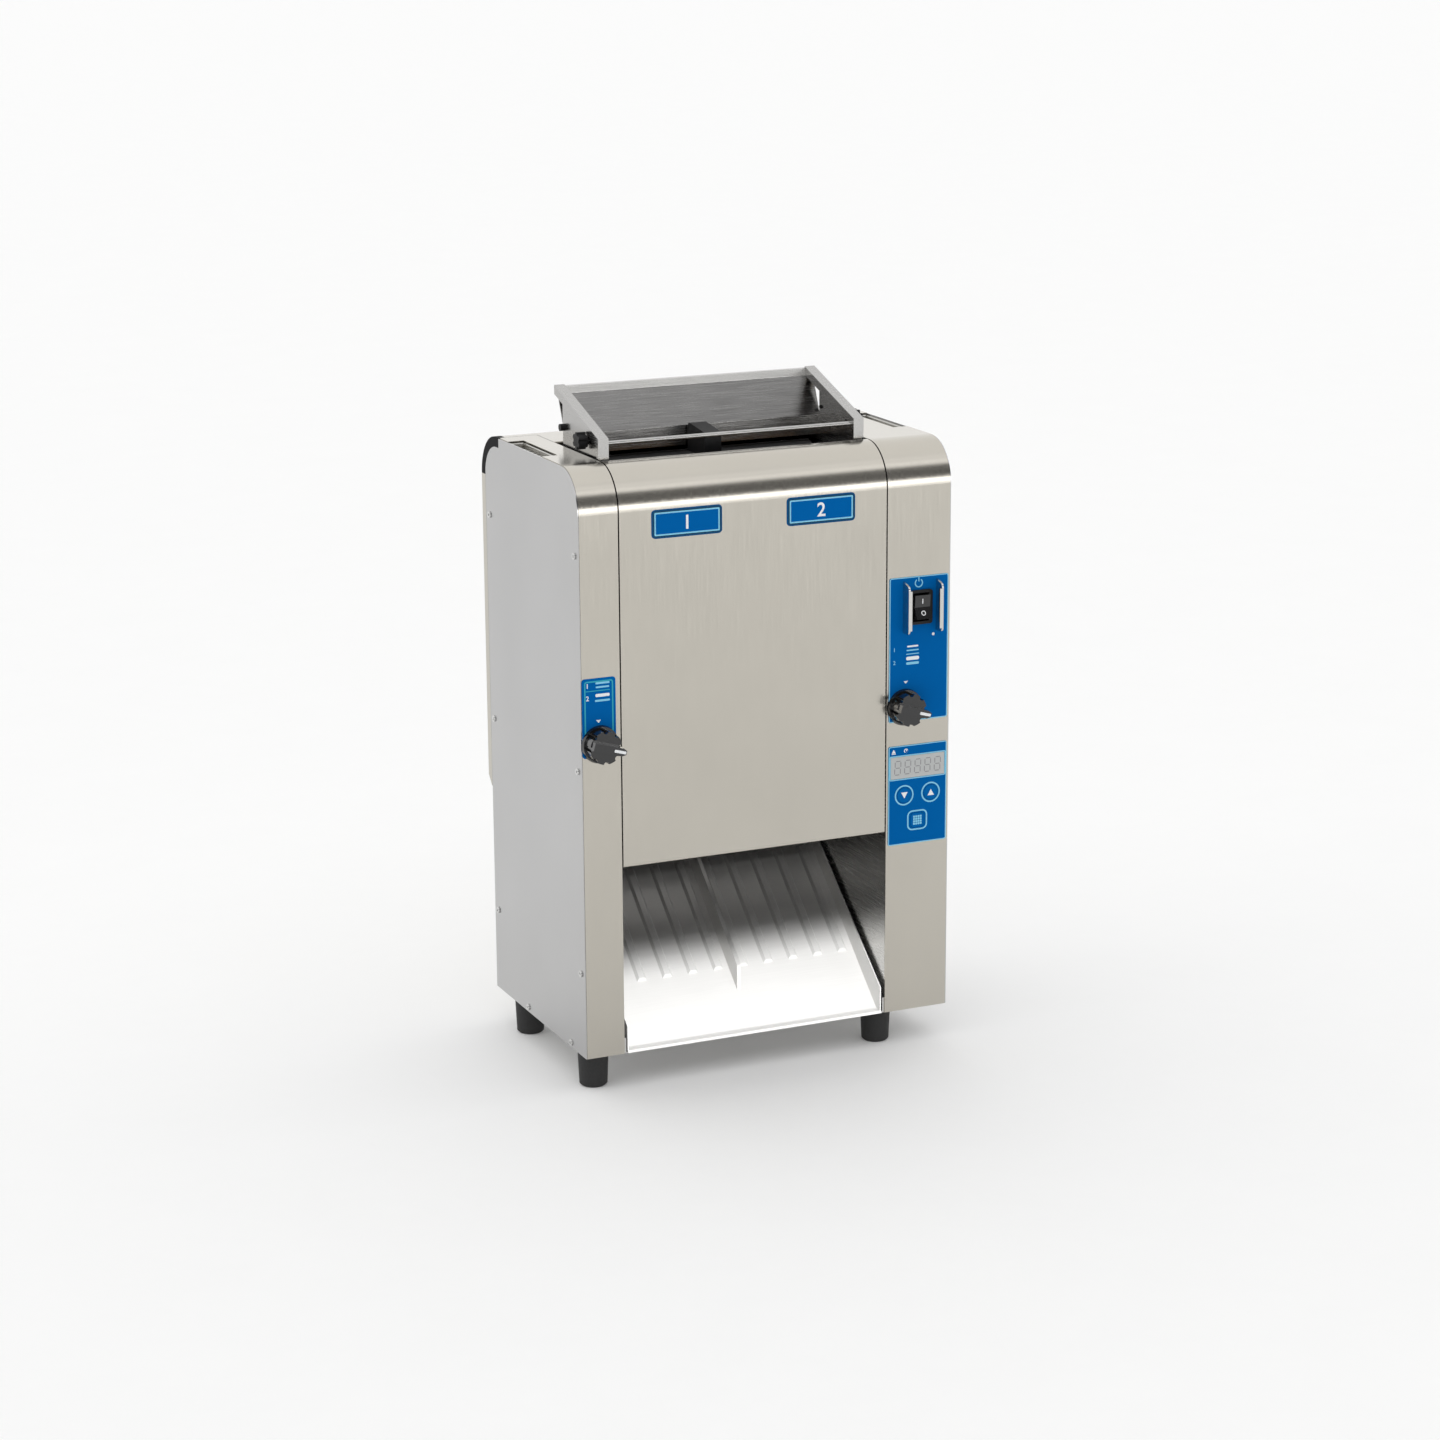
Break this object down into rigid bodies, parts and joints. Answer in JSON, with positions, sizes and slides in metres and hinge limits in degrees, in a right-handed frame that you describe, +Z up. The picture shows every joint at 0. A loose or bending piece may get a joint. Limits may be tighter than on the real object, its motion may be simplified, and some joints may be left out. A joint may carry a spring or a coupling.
{
  "type": "vertical contact toaster",
  "caption": "Countertop vertical contact toaster: bun halves drop past a hot upright platen between belts and slide out over a ribbed chute.",
  "frame": {"origin": "on the table, under the middle of the whole machine", "axes": "+Z up, +X to the right of someone facing the front, +Y towards the back"},
  "size_m": [0.4, 0.284, 0.681],
  "materials": {
    "housing_grey": "satin stainless, fine brushed",
    "steel": "brushed stainless",
    "dark_steel": "satin dark coating",
    "platen_metal": "cast, dull",
    "heater_metal": "heat tinted",
    "release_fabric": "coated brown glass cloth",
    "belt_black": "matt silicone",
    "roller_metal": "turned",
    "gear_steel": "machined",
    "bush_brass": "sintered",
    "black_plastic": "moulded, fine texture",
    "gloss_black": "polished",
    "foot_rubber": "matt",
    "label_blue": "printed polycarbonate film",
    "display_grey": "tinted window",
    "key_blue": "silicone",
    "board_green": "coated laminate",
    "motor_grey": "satin",
    "screw_zinc": "bright zinc",
    "terminal_white": "moulded"
  },
  "bodies": {
    "chassis": {"base_pan": "steel", "left_side_panel": "housing_grey", "right_side_panel": "housing_grey", "left_wrap_panel": "housing_grey", "control_wrap_panel": "housing_grey", "vent_plates": "dark_steel", "left_inner_wall": "steel", "right_inner_wall": "steel", "rear_service_panel": "housing_grey", "leveling_feet": "foot_rubber", "platen": "platen_metal", "platen_heaters": "heater_metal", "release_sheet": "release_fabric", "lane_divider": "black_plastic", "shaft_bushes": "bush_brass", "gearbox": "motor_grey", "drive_motor": "motor_grey", "upper_overlay": "label_blue", "lower_overlay": "label_blue", "display_window": "display_grey", "control_board": "board_green", "switch_body": "black_plastic", "switch_guards": "steel", "fan_frame": "black_plastic", "terminal_block": "terminal_white", "cord_gland": "black_plastic"},
    "front_cover": {"front_cover": "housing_grey"},
    "rear_cover": {"rear_cover": "housing_grey", "edge_trims": "black_plastic"},
    "feeder": {"feeder_left_side": "steel", "feeder_right_side": "steel", "feeder_back_plate": "steel", "feeder_front_rod": "steel", "feeder_thumb_screws": "black_plastic", "feeder_rear_studs": "black_plastic"},
    "discharge_chute": {"discharge_chute": "steel"},
    "front_conveyor": {"front_conveyor_frame": "steel", "front_belt": "belt_black", "front_idler_pin": "gear_steel"},
    "rear_conveyor": {"rear_conveyor_frame": "steel", "rear_belt": "belt_black", "rear_idler_pin": "gear_steel"},
    "front_drive": {"front_drive_shaft": "gear_steel", "front_drive_roller": "roller_metal"},
    "rear_drive": {"rear_drive_shaft": "gear_steel", "rear_drive_roller": "roller_metal"},
    "front_idler": {"front_idler_roller": "roller_metal"},
    "rear_idler": {"rear_idler_roller": "roller_metal"},
    "left_knob": {"left_knob": "gloss_black", "left_adjuster_screw": "gear_steel"},
    "right_knob": {"right_knob": "gloss_black", "right_adjuster_screw": "gear_steel"},
    "rocker": {"rocker": "gloss_black"},
    "down_key": {"down_key": "key_blue"},
    "up_key": {"up_key": "key_blue"},
    "select_key": {"select_key": "key_blue"},
    "motor_gear": {"motor_gear": "gear_steel"},
    "idler_gear": {"idler_gear": "gear_steel"},
    "fan_rotor": {"fan_rotor": "black_plastic"}
  },
  "joints": [
    {"name": "front_cover_off", "type": "slide", "parent": "chassis", "child": "front_cover", "axis": [0, -1, 0], "range_m": [0, 0.08]},
    {"name": "rear_cover_off", "type": "slide", "parent": "chassis", "child": "rear_cover", "axis": [0, 1, 0], "range_m": [0, 0.08]},
    {"name": "feeder_lift", "type": "slide", "parent": "chassis", "child": "feeder", "axis": [0, 0, 1], "range_m": [0, 0.08]},
    {"name": "chute_pull", "type": "slide", "parent": "chassis", "child": "discharge_chute", "axis": [0, -1, 0], "range_m": [0, 0.16]},
    {"name": "front_conveyor_swing", "type": "hinge", "parent": "chassis", "child": "front_conveyor", "pos_m": [0, -0.08, 0.271], "axis": [1, 0, 0], "range_deg": [-1.78, 0.22]},
    {"name": "rear_conveyor_swing", "type": "hinge", "parent": "chassis", "child": "rear_conveyor", "pos_m": [0, 0.045, 0.271], "axis": [1, 0, 0], "range_deg": [-0.22, 1.8]},
    {"name": "left_knob_turn", "type": "hinge", "parent": "chassis", "child": "left_knob", "pos_m": [-0.181, -0.118, 0.356], "axis": [0, -1, 0], "range_deg": [-30.5, 240.5]},
    {"name": "right_knob_turn", "type": "hinge", "parent": "chassis", "child": "right_knob", "pos_m": [0.1491, -0.118, 0.357], "axis": [0, -1, 0], "range_deg": [-30.5, 240.5]},
    {"name": "front_drive_spin", "type": "hinge", "parent": "chassis", "child": "front_drive", "pos_m": [0, -0.08, 0.271], "axis": [1, 0, 0], "continuous": true},
    {"name": "rear_drive_spin", "type": "hinge", "parent": "chassis", "child": "rear_drive", "pos_m": [0, 0.045, 0.271], "axis": [1, 0, 0], "continuous": true},
    {"name": "motor_gear_spin", "type": "hinge", "parent": "chassis", "child": "motor_gear", "pos_m": [0.1287, -0.03833, 0.271], "axis": [1, 0, 0], "continuous": true},
    {"name": "idler_gear_spin", "type": "hinge", "parent": "chassis", "child": "idler_gear", "pos_m": [0.1287, 0.00333, 0.271], "axis": [1, 0, 0], "continuous": true},
    {"name": "front_idler_spin", "type": "hinge", "parent": "front_conveyor", "child": "front_idler", "pos_m": [0, -0.08, 0.581], "axis": [1, 0, 0], "continuous": true},
    {"name": "rear_idler_spin", "type": "hinge", "parent": "rear_conveyor", "child": "rear_idler", "pos_m": [0, 0.045, 0.581], "axis": [1, 0, 0], "continuous": true},
    {"name": "fan_spin", "type": "hinge", "parent": "chassis", "child": "fan_rotor", "pos_m": [0.16435, 0.132, 0.141], "axis": [0, 1, 0], "continuous": true},
    {"name": "rocker_tip", "type": "hinge", "parent": "chassis", "child": "rocker", "pos_m": [0.166, -0.1196, 0.4585], "axis": [1, 0, 0], "range_deg": [0, 18]},
    {"name": "down_key_press", "type": "slide", "parent": "chassis", "child": "down_key", "axis": [0, 1, 0], "range_m": [0, 0.0006], "stiffness_N_per_m": 600},
    {"name": "up_key_press", "type": "slide", "parent": "chassis", "child": "up_key", "axis": [0, 1, 0], "range_m": [0, 0.0006], "stiffness_N_per_m": 600},
    {"name": "select_key_press", "type": "slide", "parent": "chassis", "child": "select_key", "axis": [0, 1, 0], "range_m": [0, 0.0006], "stiffness_N_per_m": 600}
  ],
  "couplings": [
    {"joint": "right_knob_turn", "follows": "front_conveyor_swing", "ratio": -135.09},
    {"joint": "left_knob_turn", "follows": "rear_conveyor_swing", "ratio": 133.52},
    {"joint": "rear_drive_spin", "follows": "front_drive_spin", "ratio": -1},
    {"joint": "motor_gear_spin", "follows": "front_drive_spin", "ratio": -1},
    {"joint": "idler_gear_spin", "follows": "front_drive_spin", "ratio": 1},
    {"joint": "front_idler_spin", "follows": "front_drive_spin", "ratio": 1},
    {"joint": "rear_idler_spin", "follows": "front_drive_spin", "ratio": -1}
  ]
}
